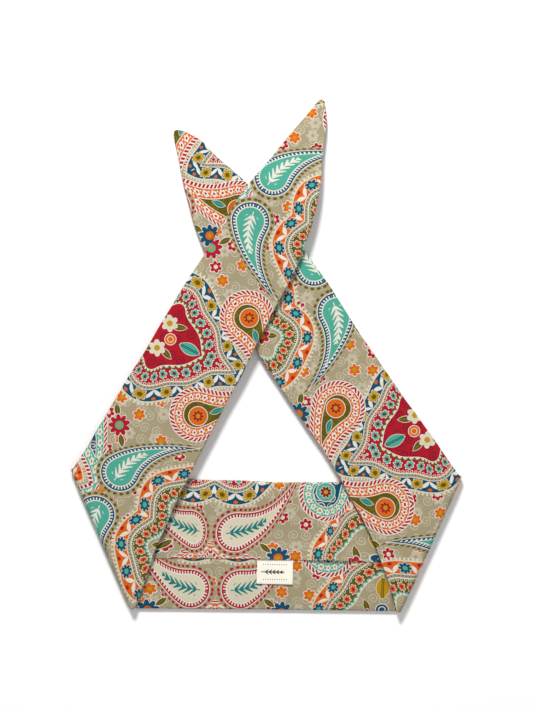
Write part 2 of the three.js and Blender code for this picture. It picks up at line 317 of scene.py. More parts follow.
def edge_stations(outer, inner, outer_tangent, inner_tangent):
    """Centres, half widths and edge normals of stations between two matched edges."""
    gap = outer - inner
    width = np.linalg.norm(gap, axis=1)
    across = gap / width[:, None]

    def normal(tangent, towards):
        n = turned(tangent)
        flip = np.sign(np.sum(n * towards, axis=1))[:, None]
        return n * flip

    return {
        "centre": (outer + inner) / 2,
        "half": width / 2,
        "across": across,
        "outer_n": normal(outer_tangent, across),
        "inner_n": normal(inner_tangent, -across),
    }


def rows(stations, slim, hem_gap, height, unfold):
    """The cloth of some stations as a grid: both sides' points, and each place's flat coordinates."""
    y, z, kinds, radius, inset = section(stations["half"], slim, hem_gap)
    result = {}
    for name, (sy, sz) in zip(("out", "in"), thickened(y, z, slim)):
        plan = stations["centre"][:, None] + stations["across"][:, None] * sy[:, :, None]
        result[name] = np.concatenate([plan, height(plan, sz)[:, :, None]], axis=2)
        result[name + "_z"] = sz
    plan = stations["centre"][:, None] + stations["across"][:, None] * y[:, :, None]
    result["flat"] = unfold(flat_places(plan, y, kinds, radius, inset, stations))
    return result


def far_from(limb, p):
    """Distance of plan places from a limb's fold line, towards the middle of the plan."""
    near, far = np.array(limb["near"], float), np.array(limb["far"], float)
    n = turned(unit(far - near))
    if np.dot(n, -near) < 0:
        n = -n
    return (p - near) @ n


def quiet_near_folds(p):
    """0 beside the fold lines, 1 away from them."""
    distance = np.minimum(*(np.abs(far_from(limb, p)) for limb in LIMBS.values()))
    return ease((distance - 28) / 30)


def neck_rows():
    outer, outer_t = along(smooth(NECK_OUTER), np.linspace(0, 1, NECK_STATIONS))
    inner, inner_t = along(smooth(NECK_INNER), np.linspace(0, 1, NECK_STATIONS))
    outer[1:-1] += outer_t[1:-1] @ [[0, 1], [-1, 0]] * wavy(outer[1:-1], EDGE_WAVES)[:, None]
    stations = edge_stations(outer, inner, outer_t, inner_t)
    middle = stations["centre"][:, 0]
    label_gap = 0.55 * ease((15 - np.abs(middle - 6)) / 4)
    turning_gap = 1.5 * ease((26 - np.abs(middle - 47)) / 17)
    one = np.ones(NECK_STATIONS)

    def height(plan, z):
        swell = 0.45 * (wavy(plan, FACE_WAVES) + 0.3) * quiet_near_folds(plan)
        return z + np.clip(swell, 0, None) * np.clip(z, 0, None) / BAND

    return rows(stations, one, np.maximum(label_gap, turning_gap), height, lambda flat: flat)


def limb_rows(limb, amount):
    """A tail and its tip, from the corner fold to the point."""
    near, far = np.array(limb["near"], float), np.array(limb["far"], float)
    edges = {}
    for side in ("outer", "inner"):
        tail, tip = limb[side + "_tail"], limb[side + "_tip"]
        curve = smooth(tail + tip[1:])
        split = 40 * (len(tail) - 1)
        first, first_t = along(curve[: split + 1], np.linspace(0, 1, TAIL_STATIONS))
        last, last_t = along(curve[split:], np.linspace(0, 1, TIP_STATIONS))
        points, tangents = np.vstack([first, last[1:]]), np.vstack([first_t, last_t[1:]])
        wave = wavy(points, EDGE_WAVES) * ease(np.minimum(np.arange(len(points)), 8) / 8)
        calm = ease((len(points) - 1 - np.arange(len(points))) / 8)
        points += turned(tangents) * wave[:, None] * calm[:, None]
        closing = points[-1] + tangents[-1] * CLOSING_LENGTH * np.linspace(0, 1, CLOSING_STATIONS)[1:, None]
        edges[side] = np.vstack([points, closing])
        edges[side + "_t"] = np.vstack([tangents, np.repeat(tangents[-1:], CLOSING_STATIONS - 1, axis=0)])
    stations = edge_stations(edges["outer"], edges["inner"], edges["outer_t"], edges["inner_t"])
    count = len(stations["half"])
    closed = np.zeros(count)
    closed[-CLOSING_STATIONS:] = np.linspace(0, 0.985, CLOSING_STATIONS)
    narrowing = np.sqrt(1 - closed**2)
    stations["half"] = stations["half"] * narrowing
    slim = np.minimum(narrowing, np.minimum(1, stations["half"] / 3.2) ** 0.5)

    bend_a, bend_b = np.array(limb["outer_tip"][0]), np.array(limb["inner_tip"][0])
    point = (np.array(limb["outer_tip"][-1]) + np.array(limb["inner_tip"][-1])) / 2
    bend_n = turned(unit(bend_b - bend_a))
    if np.dot(bend_n, point - bend_a) < 0:
        bend_n = -bend_n

    def tail_plane(p):
        return limb["rise"] + limb["slope"] * far_from(limb, p)

    fall = (TIP_HEIGHT - tail_plane(point)) / np.dot(bend_n, point - bend_a)

    def creases(plan):
        """Depth of the small creases that a limb has, where its wired edge was bent."""
        total = 0
        for x, y, angle, reach, depth in limb["creases"]:
            a = math.radians(angle)
            away = plan - [x, y]
            lengthwise = away @ [math.cos(a), math.sin(a)]
            sideways = away @ [-math.sin(a), math.cos(a)]
            total = total + depth * np.exp(-((lengthwise / reach) ** 2) - (sideways / 1.4) ** 2)
        return total

    def height(plan, z):
        past = (plan - bend_a) @ bend_n
        curve = (past + BEND_REACH) ** 2 / (4 * BEND_REACH)
        bend = fall * np.where(np.abs(past) < BEND_REACH, curve, past * (past > 0))
        calm = quiet_near_folds(plan)
        swell = amount * (wavy(plan, FACE_WAVES) + 0.35) * calm * ease((far_point(plan)) / 30)
        dent = creases(plan) * np.clip(1 - z / BAND, 0, 1)
        return tail_plane(plan) + bend + BAND / 2 - z + np.clip(swell, 0, None) - dent

    def far_point(plan):
        return np.linalg.norm(plan - point, axis=-1)

    direction = unit(far - near)
    out = turned(direction)
    if np.dot(out, -near) > 0:
        out = -out

    def unfold(flat):
        d = (flat - near) @ out
        return flat - 2 * d[..., None] * out + out * WRAP_LENGTH

    made = rows(stations, slim, np.zeros(count), height, unfold)
    return made, out


def wrap_rows(neck, tail, end, out, centre):
    """The half turn of cloth between one end of the neck section and a tail's start, about a line at the
    height centre."""
    neck_end = {key: values[end] for key, values in neck.items()}
    tail_start = {key: values[0] for key, values in tail.items()}
    turn = np.linspace(0, 1, WRAP_STATIONS + 2)[1:-1]
    result = {}
    for side in ("out", "in"):
        a, b = neck_end[side], tail_start[side]
        za, zb = neck_end[side + "_z"], tail_start[side + "_z"]
        share = ease(turn)[:, None, None]
        plan = a[None, :, :2] * (1 - share) + b[None, :, :2] * share
        z = za[None] * (1 - share[:, :, 0]) + zb[None] * share[:, :, 0]
        radius = centre - z
        angle = (turn * math.pi)[:, None]
        plan = plan + out * (radius * FOLD_BULGE * np.sin(angle))[:, :, None]
        result[side] = np.concatenate([plan, (centre - radius * np.cos(angle))[:, :, None]], axis=2)
    share = turn[:, None, None]
    result["flat"] = neck_end["flat"][None] * (1 - share) + tail_start["flat"][None] * share
    return result


def straightened(flat):
    """The flat cloth's places with the slight corner that it has at each fold rounded out, so that the
    print runs along each tail. The cloth turns over an arc, and is straight before and after it."""
    flat = flat.copy()
    for side, turn in ((-1, LEFT_CORNER), (1, RIGHT_CORNER)):
        radius = ARC_LENGTH / turn
        centre = np.array([side * ARC_START, NECK_MIDDLE + radius])
        q = (flat - centre) * [side, 1]
        angle = np.arctan2(q[..., 0], -q[..., 1])
        on_arc = (angle > 0) & (angle <= turn) & (q[..., 0] > 0)
        after = (angle > turn) & (q[..., 0] > 0)
        far = np.stack([math.cos(turn) * q[..., 0] + math.sin(turn) * q[..., 1],
                        math.cos(turn) * q[..., 1] - math.sin(turn) * q[..., 0]], axis=-1)
        along_arc = np.where(on_arc, radius * angle, radius * turn + far[..., 0])
        across = np.where(on_arc, -np.linalg.norm(q, axis=-1), far[..., 1])
        moved = np.stack([centre[0] + side * along_arc, centre[1] + across], axis=-1)
        flat = np.where((on_arc | after)[..., None], moved, flat)
    return flat


def band():
    """The whole band as one grid from the left point to the right point, with the rows where it is cut."""
    neck = neck_rows()
    left, left_out = limb_rows(LIMBS["left"], 0.8)
    right, right_out = limb_rows(LIMBS["right"], 0.35)
    left_wrap = wrap_rows(neck, left, 0, left_out, RIDGE + PLY_GAP / 2)
    right_wrap = wrap_rows(neck, right, -1, right_out, RIDGE + RIGHT_PLY_GAP / 2)
    grids = {}
    for key in ("out", "in", "flat"):
        parts = [left[key][::-1], left_wrap[key][::-1], neck[key], right_wrap[key], right[key]]
        grids[key] = np.concatenate(parts)
    grids["flat"] = straightened(grids["flat"])
    sizes = [len(left["out"]), WRAP_STATIONS, NECK_STATIONS, WRAP_STATIONS, len(right["out"])]
    starts = np.concatenate([[0], np.cumsum(sizes)])
    return grids, starts


# ---------------------------------------------------------------- meshes
def new_object(name, vertices, faces):
    mesh = bpy.data.meshes.new(name)
    mesh.from_pydata(vertices, [], faces)
    mesh.validate()
    made = bpy.data.objects.new(name, mesh)
    bpy.context.scene.collection.objects.link(made)
    return made


def grid_faces(count, ring):
    """Quads of a tube of count rings, each closed on itself, and the quads that close its two ends."""
    i, k = np.meshgrid(np.arange(count - 1), np.arange(ring), indexing="ij")
    k2 = (k + 1) % ring
    quads = np.stack([i * ring + k, i * ring + k2, (i + 1) * ring + k2, (i + 1) * ring + k], axis=2)
    half = ring // 2
    k = np.arange(half - 1)
    cap = np.stack([k, ring - 1 - k, ring - 2 - k, k + 1], axis=1)
    far = cap[:, ::-1] + (count - 1) * ring
    return np.concatenate([quads.reshape(-1, 4), cap, far])


def volume(points, faces):
    a, b, c, d = (points[faces[:, i]] for i in range(4))
    return (np.sum(a * np.cross(b, c)) + np.sum(a * np.cross(c, d))) / 6


def shifted(plan):
    """Points of the plan as points of the part, in millimetres, in one list."""
    points = plan.reshape(-1, 3).copy()
    points[:, :2] += SHIFT
    return points


def shade_smooth(piece):
    piece.data.polygons.foreach_set("use_smooth", np.ones(len(piece.data.polygons), bool))


def closed_piece(name, points, faces, smooth=True):
    """An object from points in millimetres, with its faces turned to the outside."""
    if volume(points, faces) < 0:
        faces = faces[:, ::-1]
    piece = new_object(name, points * MM, faces.tolist())
    if smooth:
        shade_smooth(piece)
    return piece


def lay_flat(piece, places):
    """Gives each point its place on the flat cloth, in millimetres, for the material."""
    attribute = piece.data.attributes.new("cloth", "FLOAT_VECTOR", "POINT")
    attribute.data.foreach_set("vector", places.astype(np.float32).ravel())


def cloth_piece(name, grids, first, last):
    """The cloth between two rows of the grid, as a closed thin skin."""
    out, inside, flat = (grids[key][first : last + 1] for key in ("out", "in", "flat"))
    ring = np.concatenate([out, inside[:, ::-1]], axis=1)
    piece = closed_piece(name, shifted(ring), grid_faces(len(out), ring.shape[1]))
    places = np.concatenate([flat, flat[:, ::-1]], axis=1)
    inner = np.concatenate([np.zeros(flat.shape[:2]), np.ones(flat.shape[:2])], axis=1)
    lay_flat(piece, np.concatenate([places, inner[:, :, None]], axis=2))
    piece.data.set_sharp_from_angle(angle=math.radians(52))
    return piece


def lining_piece(name, grids, first, last):
    """The interlining strip between two rows of the grid, parallel to the printed face."""
    inside = grids["in"][first : last + 1]
    face = LOWER_PLACES + EDGE_PLACES
    flap = face + FACE_PLACES + EDGE_PLACES
    margin = FACE_PLACES * (1 - LINING_SHARE) / 2
    places = np.linspace(face + margin, face + FACE_PLACES - margin, LINING_PLACES).round().astype(int)
    strip = inside[:, places]
    across = unit(strip[:, -1] - strip[:, 0])
    flaps = (inside[:, LOWER_PLACES // 2] + inside[:, flap + UPPER_PLACES // 2]) / 2
    away = flaps - (strip[:, 0] + strip[:, -1]) / 2
    away = unit(away - across * np.sum(away * across, axis=1, keepdims=True))[:, None]
    ring = np.concatenate([strip + away * LINING_FROM, strip[:, ::-1] + away * LINING_TO], axis=1)
    return closed_piece(name, shifted(ring), grid_faces(len(ring), ring.shape[1]), smooth=False)


def tube(path, radius, sides=6):
    """Vertices and quads of a thin tube along a short path, with closed ends."""
    tangent = np.gradient(path, axis=0)
    tangent /= np.linalg.norm(tangent, axis=1)[:, None]
    side = np.cross(tangent, [0.3, 0.2, 0.93])
    side /= np.linalg.norm(side, axis=1)[:, None]
    other = np.cross(tangent, side)
    angle = np.arange(sides) / sides * 2 * math.pi
    ring = side[:, None] * np.cos(angle)[None, :, None] + other[:, None] * np.sin(angle)[None, :, None]
    points = path[:, None] + ring * radius
    return points.reshape(-1, 3), grid_faces(len(path), sides)


def wire_run(grids, edge, first, last):
    """Points of the wire beside one edge of the band, between two rows of the grid."""
    inside = grids["in"][first : last + 1]
    face = LOWER_PLACES + EDGE_PLACES
    across = unit(inside[:, face + FACE_PLACES] - inside[:, face])
    if edge == "inner":
        return (inside[:, LOWER_PLACES] + inside[:, face]) / 2 + across * WIRE_STEP
    face_end = face + FACE_PLACES
    return (inside[:, face_end] + inside[:, face_end + EDGE_PLACES]) / 2 - across * WIRE_STEP


def hairpin(outer, inner):
    """The wire beside both edges of a point, and its turn from the one to the other."""
    middle = (outer[-1] + inner[-1]) / 2
    arm = outer[-1] - middle
    onward = unit(outer[-1] + inner[-1] - outer[-2] - inner[-2]) * np.linalg.norm(arm)
    turn = [middle + arm * math.cos(a) + onward * math.sin(a) for a in np.linspace(0, math.pi, 9)[1:-1]]
    return np.concatenate([outer, turn, inner[::-1]])


def wire_piece(name, path):
    points, faces = tube(path, WIRE_RADIUS, 10)
    return closed_piece(name, shifted(points), faces)


def stitches(name, grids, first, last):
    """Small slanting stitches over the hem's edge, between two rows of the grid."""
    out, inside = grids["out"][first : last + 1], grids["in"][first : last + 1]
    edge, above, lower = out[:, HEM_PLACE], out[:, HEM_PLACE - 1], out[:, :LOWER_PLACES]
    onward = edge - above
    onward /= np.linalg.norm(onward, axis=1)[:, None]
    face = out[:, HEM_PLACE - 1] - inside[:, HEM_PLACE - 1]
    face /= np.linalg.norm(face, axis=1)[:, None]
    target = edge + onward * STITCH_REACH
    near = np.argmin(np.linalg.norm(lower[:, :, :2] - target[:, None, :2], axis=2), axis=1)
    below = target.copy()
    below[:, 2] = lower[np.arange(len(lower)), near, 2]
    run = np.concatenate([[0], np.cumsum(np.linalg.norm(np.diff(edge, axis=0), axis=1))])

    def at(values, distance):
        return np.array([np.interp(distance, run, values[:, k]) for k in range(3)])

    vertices, faces, total = [], [], 0
    for distance in np.arange(STITCH_PITCH / 2, run[-1] - 1, STITCH_PITCH):
        a, e, b = at(above, distance - 0.45), at(edge, distance), at(below, distance + 0.45)
        n, o = at(face, distance), at(onward, distance)
        path = [a - n * 0.2, a + n * 0.07, (a + e) / 2 + n * 0.09, e + n * 0.08, e + o * 0.2 - n * 0.1,
                b + n * 0.06, b - n * 0.2]
        points, quads = tube(np.array(path), STITCH_RADIUS)
        vertices.append(points)
        faces.append(quads + total)
        total += len(points)
    piece = new_object(name, shifted(np.concatenate(vertices)) * MM, np.concatenate(faces).tolist())
    shade_smooth(piece)
    return piece


SHIFT = plan_shift()


def metres(x, y, z):
    """A plan place and a height, in millimetres, as a point of the part in metres."""
    return ((x + SHIFT[0]) * MM, (y + SHIFT[1]) * MM, z * MM)


def cut_rows(grids, starts):
    """The rows of the grid where the band is cut, and those at its ends and at its fold lines."""
    left_limb, neck_start, neck_end, right_limb = starts[1], starts[2], starts[3] - 1, starts[4]

    def reach_row(limb, first, step, distance):
        """The first row, from a fold line on, where the whole station is past a distance from it."""
        row = first
        while np.min(np.abs(far_from(limb, grids["out"][row, :, :2]))) < distance:
            row += step
        return row

    left, right = LIMBS["left"], LIMBS["right"]
    return {
        "left_bend": left_limb - TAIL_STATIONS + round(BEND_PIECE / STATION_STEP),
        "left_tail": reach_row(left, left_limb - 1, -1, FOLD_PIECE),
        "left_fold": left_limb - 1,
        "neck_start": neck_start,
        "left_neck": reach_row(left, neck_start, 1, FOLD_PIECE),
        "splice": neck_start + SPLICE_STATION,
        "right_neck": reach_row(right, neck_end, -1, FOLD_PIECE),
        "neck_end": neck_end,
        "right_fold": right_limb,
        "right_tail": reach_row(right, right_limb, 1, FOLD_PIECE),
        "right_bend": right_limb + TAIL_STATIONS - round(BEND_PIECE / STATION_STEP),
        "last": starts[-1] - 1,
    }


def build_wires(grids, cut):
    """The stretches of the wire loop, by the CAD node that each stands for."""
    wire = {}

    def add(node, path):
        wire[node] = wire_piece(node + "_line", path)

    for side, first, last in (("left", "left_bend", "left_fold"), ("right", "right_fold", "right_bend")):
        for edge in ("outer", "inner"):
            add(f"{side}_tail_wire_{edge}", wire_run(grids, edge, cut[first], cut[last]))
    add("neck_wire_outer", wire_run(grids, "outer", cut["neck_start"], cut["neck_end"]))
    left_half = wire_run(grids, "inner", cut["neck_start"], cut["splice"])
    left_half[-1] += (left_half[-2] - left_half[-1]) * SPLICE_GAP
    add("neck_wire_left_end", left_half)
    right_half = wire_run(grids, "inner", cut["splice"], cut["neck_end"])
    right_half[0] += (right_half[1] - right_half[0]) * SPLICE_GAP
    add("neck_wire_right_end", right_half)
    turn = CLOSING_STATIONS + HAIRPIN_END
    for side, first, last, step in (
        ("left", turn, cut["left_bend"], -1),
        ("right", cut["right_bend"], cut["last"] - turn, 1),
    ):
        runs = [wire_run(grids, edge, first, last)[::step] for edge in ("outer", "inner")]
        add(side + "_tip_wire_hairpin", hairpin(*runs))
    return wire


def build_band():
    """The cloth, stitches and interlining of each stretch of the band, and the wires inside it."""
    grids, starts = band()
    cut = cut_rows(grids, starts)
    inner_cuts = {
        "left_tail": (cut["left_bend"], cut["left_tail"]),
        "left_corner": (cut["left_tail"], cut["left_neck"]),
        "neck": (cut["left_neck"], cut["right_neck"]),
        "right_corner": (cut["right_neck"], cut["right_tail"]),
        "right_tail": (cut["right_tail"], cut["right_bend"]),
    }

    def stretches(short_of_points):
        """First and last rows of each stretch, where the tips stop some stations short of their points."""
        return {
            "left_tip": (short_of_points, cut["left_bend"]),
            **inner_cuts,
            "right_tip": (cut["right_bend"], cut["last"] - short_of_points),
        }

    cloth = {name: cloth_piece(name + "_cloth", grids, *span) for name, span in stretches(0).items()}
    thread = {
        name: stitches(name + "_stitches", grids, *span)
        for name, span in stretches(2 * CLOSING_STATIONS).items()
        if "corner" not in name  # a fold hides its stitches
    }
    lining = {
        name: lining_piece(name + "_lining", grids, *span)
        for name, span in stretches(CLOSING_STATIONS + LINING_END).items()
    }
    return cloth, thread, lining, build_wires(grids, cut)


def bind(piece, name):
    """A stretch of the band moves with its body; a corner or a tip stays where it is built."""
    side, _, stretch = name.partition("_")
    if name == "neck":
        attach(piece, "neck")
    elif stretch == "tail":
        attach(piece, name)
    elif stretch == "corner":
        height = RIDGE + PLY_GAP / 2
        start, end = metres(0, 0, height - 0.1), metres(0, 0, height + 0.1)
        side + "_tail"
        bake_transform(piece)
        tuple(start)
        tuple(end)
    else:
        limb = LIMBS[side]
        a, b = np.array(limb["outer_tip"][0]), np.array(limb["inner_tip"][0])
        onward = turned(unit(b - a))
        onward = onward if np.dot(onward, np.array(limb["outer_tip"][-1]) - a) > 0 else -onward
        start, end = (metres(*((a + b) / 2 + onward * d), 0) for d in (-BEND_REACH, BEND_REACH))
        side + "_tail"
        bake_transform(piece)
        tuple(start)
        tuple(end)


cloth, thread, lining, wire = build_band()
for name in cloth:
    bind(cloth[name], name)
    bind(lining[name], name)
for name in thread:
    bind(thread[name], name)
    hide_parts(name + "_shell")
    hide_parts(name + "_interlining")
    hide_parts(name + "_seam_thread")
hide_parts("neck_closing_thread")
for node, piece in wire.items():
    bind(piece, node.partition("_wire")[0])
    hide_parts(node)


# ---------------------------------------------------------------- patterns written as arithmetic
PALETTE = {
    "ground": (183, 169, 134),
    "scroll": (212, 202, 174),
    "cream": (238, 228, 200),
    "white": (250, 245, 230),
    "red": (192, 18, 42),
    "wine": (132, 14, 38),
    "orange": (238, 108, 6),
    "mustard": (208, 158, 10),
    "olive": (104, 92, 4),
    "moss": (136, 120, 28),
    "teal": (84, 184, 160),
    "sea": (22, 136, 134),
    "blue": (4, 82, 114),
    "ink": (70, 66, 62),
    "felt": (240, 238, 230),
    "felt_dark": (206, 203, 194),
    "wire": (236, 236, 232),
    "wire_dark": (214, 214, 210),
    "tape": (66, 66, 68),
    "tape_dark": (38, 38, 40),
    "thread": (206, 196, 170),
    "thread_dark": (158, 148, 122),
}


def linear(name):
    """A palette colour as the linear values that a shader takes."""
    shares = [v / 255 for v in PALETTE[name]]
    return (*(((v + 0.055) / 1.055) ** 2.4 if v > 0.04 else v / 12.92 for v in shares), 1)


class Number:
    """A number at each point of a surface: an output of a material's nodes, with arithmetic."""

    def __init__(self, pen, socket):
        self.pen, self.socket = pen, socket

    def __add__(self, other):
        return self.pen.calc("ADD", self, other)

    def __sub__(self, other):
        return self.pen.calc("SUBTRACT", self, other)

    def __rsub__(self, other):
        return self.pen.calc("SUBTRACT", other, self)

    def __mul__(self, other):
        return self.pen.calc("MULTIPLY", self, other)

    def __lt__(self, other):
        return self.pen.calc("LESS_THAN", self, other)

    def __gt__(self, other):
        return self.pen.calc("GREATER_THAN", self, other)

    def __abs__(self):
        return self.pen.calc("ABSOLUTE", self)

    __radd__, __rmul__ = __add__, __mul__

    def times_plus(self, factor, extra):
        return self.pen.calc("MULTIPLY_ADD", self, factor, extra)

    def within(self, low, high):
        """1 where the number is between low and high."""
        return self.pen.calc("COMPARE", self, (low + high) / 2, (high - low) / 2)

    def wrapped(self, period):
        """The number brought between minus and plus half a period."""
        return self.pen.calc("WRAP", self, period / 2, -period / 2)


class Pen:
    """Adds nodes to one material's tree."""

    SOCKETS = {"FLOAT": "VALUE", "VECTOR": "VECTOR", "RGBA": "RGBA"}

    def __init__(self, tree):
        self.tree = tree

    def node(self, kind, **settings):
        made = self.tree.nodes.new("ShaderNode" + kind)
        for key, value in settings.items():
            setattr(made, key, value)
        return made

    def feed(self, socket, value):
        if isinstance(value, Number):
            self.tree.links.new(value.socket, socket)
        elif isinstance(value, bpy.types.NodeSocket):
            self.tree.links.new(value, socket)
        else:
            socket.default_value = value

    def calc(self, operation, *values):
        made = self.node("Math", operation=operation)
        for socket, value in zip(made.inputs, values):
            self.feed(socket, value)
        return Number(self, made.outputs[0])

    def vector(self, operation, *values, output=0):
        made = self.node("VectorMath", operation=operation)
        for socket, value in zip(made.inputs, values):
            self.feed(socket, value)
        return made.outputs[output]

    def scaled(self, colour, share):
        made = self.node("VectorMath", operation="SCALE")
        self.feed(made.inputs[0], colour)
        self.feed(made.inputs["Scale"], share)
        return made.outputs[0]

    def length(self, place):
        return Number(self, self.vector("LENGTH", place, output=1))

    def distance(self, place, point):
        return Number(self, self.vector("DISTANCE", place, (*point, 0), output=1))

    def pair(self, place):
        made = self.node("SeparateXYZ")
        self.feed(made.inputs[0], place)
        return Number(self, made.outputs[0]), Number(self, made.outputs[1])

    def place(self, x, y):
        made = self.node("CombineXYZ")
        self.feed(made.inputs[0], x)
        self.feed(made.inputs[1], y)
        return made.outputs[0]

    def moved(self, place, spot, angle=0, flip=1):
        """The place seen from a motif that lies at a spot, turned by an angle in degrees."""
        made = self.node("Mapping", vector_type="TEXTURE")
        self.feed(made.inputs["Vector"], place)
        made.inputs["Location"].default_value = (*spot, 0)
        made.inputs["Rotation"].default_value = (0, 0, math.radians(angle))
        made.inputs["Scale"].default_value = (1, flip, 1)
        return made.outputs[0]

    def repeated(self, place, centre, period):
        """The place brought into the window of one period round a centre."""
        high = (centre[0] + period[0] / 2, centre[1] + period[1] / 2, 1)
        low = (centre[0] - period[0] / 2, centre[1] - period[1] / 2, -1)
        return self.vector("WRAP", place, high, low)

    def choose(self, share, a, b, kind="RGBA"):
        """a where share is 0, b where it is 1."""
        made = self.node("Mix", data_type=kind)
        first, second = [i for i in made.inputs if i.type == self.SOCKETS[kind]][-2:]
        self.feed(made.inputs[0], share)
        self.feed(first, a)
        self.feed(second, b)
        return next(o for o in made.outputs if o.type == first.type)

    def cells(self, place, pitch, randomness):
        """The place seen from the middles of scattered cells, and a random number for each cell."""
        made = self.node("TexVoronoi", voronoi_dimensions="2D")
        self.feed(made.inputs["Vector"], place)
        made.inputs["Scale"].default_value = 1 / pitch
        made.inputs["Randomness"].default_value = randomness
        chance, _ = self.pair(made.outputs["Color"])
        return self.vector("SUBTRACT", place, made.outputs["Position"]), chance


def new_material(name):
    material = bpy.data.materials.new(name)
    material.use_nodes = True
    return material, Pen(material.node_tree), material.node_tree.nodes["Principled BSDF"]


def add_bump(pen, shader, height, distance, strength=0.6):
    bump = pen.node("Bump")
    bump.inputs["Strength"].default_value = strength
    bump.inputs["Distance"].default_value = distance
    pen.feed(bump.inputs["Height"], height)
    pen.feed(shader.inputs["Normal"], bump.outputs[0])


class Picture:
    """A colour that grows as shapes are laid over it. kind is 0 or 1: a motif's two sets of colours."""

    def __init__(self, pen, colour, kind):
        self.pen, self.kind = pen, kind
        self.colour = linear(colour)

    def dye(self, name):
        if isinstance(name, str):
            return linear(name)
        return self.pen.choose(self.kind, linear(name[0]), linear(name[1]))

    def paint(self, mask, name):
        self.colour = self.pen.choose(mask, self.colour, self.dye(name))


def drop_outline(pen, place, radius, reach, bend=0.0, lobe=0.0):
    """A drop with its head round the origin and its point at reach along x. With a lobe, two such heads
    lie side by side and make a heart. Gives the distance outside the outline, the length along it, and
    the bent place."""
    x, y = pen.pair(place)
    if bend:
        ahead = pen.calc("MAXIMUM", x, 0.0)
        y = y - ahead * ahead * bend
    forward, side = x, abs(y)
    size = math.hypot(lobe, reach)
    if lobe:
        side = side - lobe
        cosine, sine = reach / size, -lobe / size
        forward, side = side.times_plus(sine, x * cosine), side.times_plus(cosine, x * -sine)
    b = radius / size
    a = math.sqrt(1 - b * b)
    run = side.times_plus(-b, forward * a)
    head = run < 0.0
    away = pen.length(pen.place(forward, side)) - radius
    line = side.times_plus(a, forward * b) - radius
    outside = Number(pen, pen.choose(head, line, away, "FLOAT"))
    turn = pen.calc("ARCTAN2", forward * a - side * b, side.times_plus(a, forward * b))
    length = Number(pen, pen.choose(head, run, turn * radius, "FLOAT"))
    return outside, length, x, y


def beads(pen, strip, pitch):
    """The place seen from the middle of each piece of a row along an outline."""
    return pen.vector("WRAP", strip, (pitch / 2, 500, 1), (-pitch / 2, -500, -1))


def dots(pen, picture, strip, at, pitch, radius, colour):
    cell = beads(pen, strip, pitch)
    picture.paint(pen.distance(cell, (0, at)) < radius, colour)


def arches(pen, picture, strip, at, pitch, radius, width, colour, fill=None):
    """A row of small arches that stand on an outline."""
    away = pen.distance(beads(pen, strip, pitch), (0, at))
    if fill:
        picture.paint(away < radius, fill)
    picture.paint(away.within(radius - width, radius), colour)


def petalled(pen, place, radius, petals):
    """Distance from the origin, less where a flower's petals reach further out."""
    x, y = pen.pair(place)
    petal = abs(pen.calc("COSINE", pen.calc("ARCTAN2", y, x) * (petals / 2)))
    return petal.times_plus(-0.34 * radius, pen.length(place)) + 0.34 * radius


def flower(pen, picture, place, radius, petals, colour, eye, rim="white"):
    """A flower seen from above, its middle at the origin of the place."""
    away = petalled(pen, place, radius, petals)
    picture.paint(away < radius, rim)
    picture.paint(away < radius - 0.55, colour)
    picture.paint(pen.length(place) < radius * 0.34, eye)


def stripes(picture, outside, length, low, high, pitch, slant, share, colour):
    """Slanting stripes across a border."""
    at = outside.times_plus(slant, length).wrapped(pitch)
    picture.paint((abs(at) < pitch * share / 2) * outside.within(low, high), colour)


def leaf(pen, picture, place, spot, angle, reach, width, colour, vein=None, rim=None):
    """A pointed leaf that grows from a spot."""
    x, y = pen.pair(pen.moved(place, spot, angle))
    middle = x - reach / 2
    side = abs(y)
    edge = middle.times_plus(middle * (width / (reach / 2) ** 2), side)
    if rim:
        picture.paint(edge < width + 0.45, rim)
    picture.paint(edge < width, colour)
    if vein:
        picture.paint((side < 0.3) * (edge < width * 0.9), vein)


def spray(picture, x, y, start, end, pitch, width, colour):
    """A stem along x with pairs of leaves that grow shorter towards its end."""
    side = abs(y)
    taper = x.times_plus(-width * 0.55 / (end - start), width * (1 + 0.55 * start / (end - start)))
    twig = side.times_plus(-1.1, x).wrapped(pitch)
    blade = side.times_plus(-0.42 * pitch / width, 0.42 * pitch)
    on = x.within(start, end)
    picture.paint((abs(twig) < blade) * on * (side < taper), colour)
    picture.paint((side < 0.35) * x.within(start - 3, end), colour)


# ---------------------------------------------------------------- the printed cotton
PRINT_ORIGIN = (-268.0, -106.0)  # a medallion's middle, in the flat cloth
COLUMN = 116.0  # from one column of medallions to the next
REPEAT = 142.0  # from one medallion to the next in its column
THREAD = 0.42  # pitch of the cotton's threads


def folded_places(pen, place):
    """The print mirrors itself about each column of medallions, and the next column is the same with
    other colours, half a repeat further. So every motif is drawn once, in one folded place."""
    x, y = pen.pair(pen.moved(place, PRINT_ORIGIN))
    away = abs(x.wrapped(2 * COLUMN))
    kind = away > COLUMN / 2
    folded = COLUMN / 2 - abs(away - COLUMN / 2)
    return pen.place(folded, kind.times_plus(REPEAT / 2, y)), kind


def paint_ground(pen, picture, place, scrolls):
    picture.paint(scrolls, "scroll")
    seen, _ = pen.cells(place, 17.0, 0.62)
    picture.paint(petalled(pen, seen, 4.4, 6) < 4.4, "scroll")
    picture.paint(pen.length(seen) < 1.2, "ground")
    seen, chance = pen.cells(pen.moved(place, (31, 17), 23), 17.5, 0.5)
    away = petalled(pen, seen, 4.9, 6)
    picture.paint(away < 4.9, "white")
    tone = pen.choose(chance > 0.5, linear("red"), linear("orange"))
    picture.colour = pen.choose(away < 4.3, picture.colour, tone)
    tone = pen.choose(chance > 0.5, linear("cream"), linear("mustard"))
    picture.colour = pen.choose(pen.length(seen) < 1.5, picture.colour, tone)


